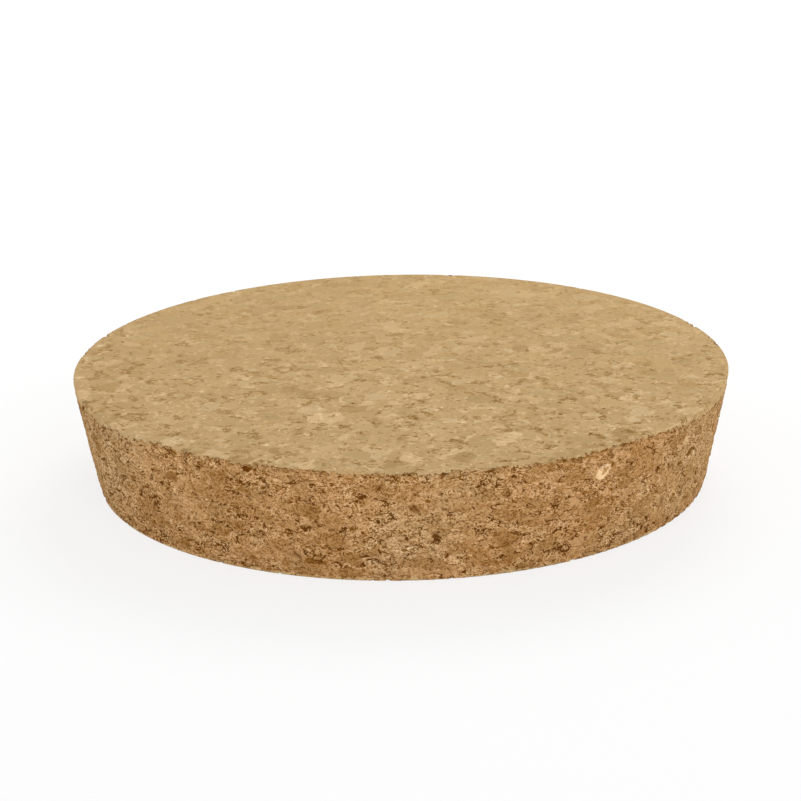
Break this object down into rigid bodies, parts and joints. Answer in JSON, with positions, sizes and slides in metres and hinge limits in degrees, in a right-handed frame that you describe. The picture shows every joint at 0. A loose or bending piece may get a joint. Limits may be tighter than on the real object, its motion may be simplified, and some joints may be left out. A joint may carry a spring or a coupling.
{
  "type": "cork lid",
  "caption": "Round tapered lid of agglomerated cork: a solid disc with flat sanded faces and a rough ground wall that wedges into a wide jar mouth.",
  "frame": {"origin": "centre of the flat underside, the face that goes into the jar", "axes": "+Z is the axis of the lid and points up, out of the jar; X and Y are alike, and the side seen in the reference view faces -Y"},
  "size_m": [0.115, 0.115, 0.02],
  "materials": {
    "cork": "agglomerated cork, sanded flat on both faces and ground rough round the wall, matt"
  },
  "bodies": {
    "root": {"cork_lid": "cork"}
  },
  "joints": []
}
